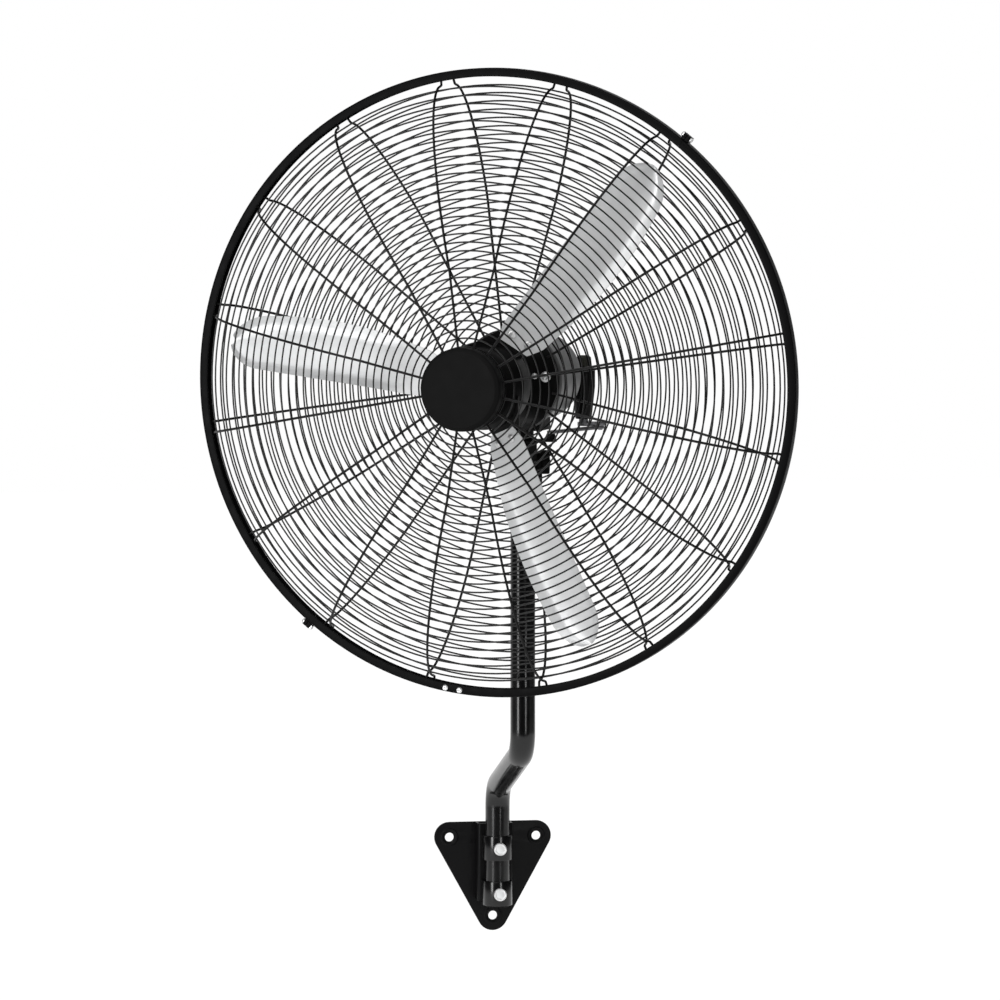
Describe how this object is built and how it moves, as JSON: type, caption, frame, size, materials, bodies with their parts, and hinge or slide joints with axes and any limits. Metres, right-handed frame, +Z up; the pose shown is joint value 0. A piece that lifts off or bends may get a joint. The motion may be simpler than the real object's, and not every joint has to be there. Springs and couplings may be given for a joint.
{
  "type": "wall fan",
  "caption": "Oscillating wall fan: a round wire guard and twisted blades on a motor head, held by an S-bent tube that is strapped to a triangular wall plate.",
  "frame": {"origin": "back face of the wall plate, on the tube's upright middle line, 60 mm above the lower screw hole", "axes": "+Y into the wall, +Z up; the fan blows towards -Y when its head is straight ahead"},
  "size_m": [0.7067, 0.5398, 1.1445],
  "materials": {
    "black_powder_coat": "semi-gloss black powder coat on steel",
    "black_cast": "satin black paint on castings",
    "black_plastic": "fine-grained matte moulding",
    "grey_paint": "satin dark grey paint",
    "blade_aluminium": "satin sheet",
    "zinc_steel": "bright zinc plate",
    "bare_steel": "ground",
    "stator_core": "laminations and varnished windings"
  },
  "bodies": {
    "wall_bracket": {"wall_plate": "black_powder_coat", "bracket_channel": "black_powder_coat", "saddle_strap_upper": "black_powder_coat", "saddle_strap_lower": "black_powder_coat", "strap_bolt_upper": "zinc_steel", "strap_bolt_lower": "zinc_steel", "strap_nut_upper": "zinc_steel", "strap_nut_lower": "zinc_steel", "support_tube": "black_powder_coat", "tube_end_plug": "black_plastic", "neck_clevis": "black_cast", "neck_bolt": "zinc_steel", "tilt_bolt": "zinc_steel", "tilt_knob": "black_plastic"},
    "tilt_head": {"tilt_block": "black_cast", "pivot_pin": "bare_steel"},
    "motor_head": {"motor_front_housing": "black_cast", "motor_shell": "grey_paint", "motor_stator": "stator_core", "front_bearing": "bare_steel", "rear_bearing": "bare_steel", "pivot_saddle": "black_cast", "saddle_screw_1": "zinc_steel", "saddle_screw_2": "zinc_steel", "gearbox_housing": "black_cast", "cable_gland": "black_plastic", "rear_guard": "black_powder_coat", "guard_screw_1": "zinc_steel", "guard_screw_2": "zinc_steel", "guard_screw_3": "zinc_steel", "guard_screw_4": "zinc_steel", "front_guard": "black_powder_coat", "rim_band_upper": "black_powder_coat", "rim_band_lower": "black_powder_coat", "band_bolt_right": "zinc_steel", "band_bolt_left": "zinc_steel", "band_screw_1": "zinc_steel", "band_screw_2": "zinc_steel", "front_cap": "black_plastic", "cap_backing_plate": "black_powder_coat", "cap_screw_1": "zinc_steel", "cap_screw_2": "zinc_steel"},
    "crank": {"crank_arm": "bare_steel"},
    "link": {"drive_link": "zinc_steel"},
    "knob": {"clutch_knob": "black_plastic"},
    "rotor": {"motor_shaft": "bare_steel", "blade_hub": "black_cast", "blade_1": "blade_aluminium", "blade_2": "blade_aluminium", "blade_3": "blade_aluminium", "blade_rivet_1a": "zinc_steel", "blade_rivet_1b": "zinc_steel", "blade_rivet_2a": "zinc_steel", "blade_rivet_2b": "zinc_steel", "blade_rivet_3a": "zinc_steel", "blade_rivet_3b": "zinc_steel", "hub_nut": "zinc_steel", "rotor_core": "bare_steel"}
  },
  "joints": [
    {"name": "tilt", "type": "hinge", "parent": "wall_bracket", "child": "tilt_head", "pos_m": [0, -0.23, 0.557], "axis": [1, 0, 0], "range_deg": [-15, 5]},
    {"name": "oscillation", "type": "hinge", "parent": "tilt_head", "child": "motor_head", "pos_m": [0, -0.23, 0.665], "axis": [0, 0, 1], "range_deg": [-11, 69]},
    {"name": "blade_spin", "type": "hinge", "parent": "motor_head", "child": "rotor", "pos_m": [-0.05236, -0.32446, 0.665], "axis": [-0.4848, -0.8746, 0], "continuous": true},
    {"name": "crank_turn", "type": "hinge", "parent": "motor_head", "child": "crank", "pos_m": [0.09259, -0.15784, 0.6], "axis": [0, 0, 1], "range_deg": [-112, 18]},
    {"name": "link_pivot", "type": "hinge", "parent": "crank", "child": "link", "pos_m": [0.11539, -0.15432, 0.6], "axis": [0, 0, 1], "range_deg": [-19, 114]},
    {"name": "clutch_slide", "type": "slide", "parent": "motor_head", "child": "knob", "axis": [0, 0, 1], "range_m": [0, 0.008]}
  ],
  "couplings": [
    {"joint": "crank_turn", "follows": "oscillation", "ratio": -1.6165},
    {"joint": "link_pivot", "follows": "oscillation", "ratio": 1.6428}
  ]
}
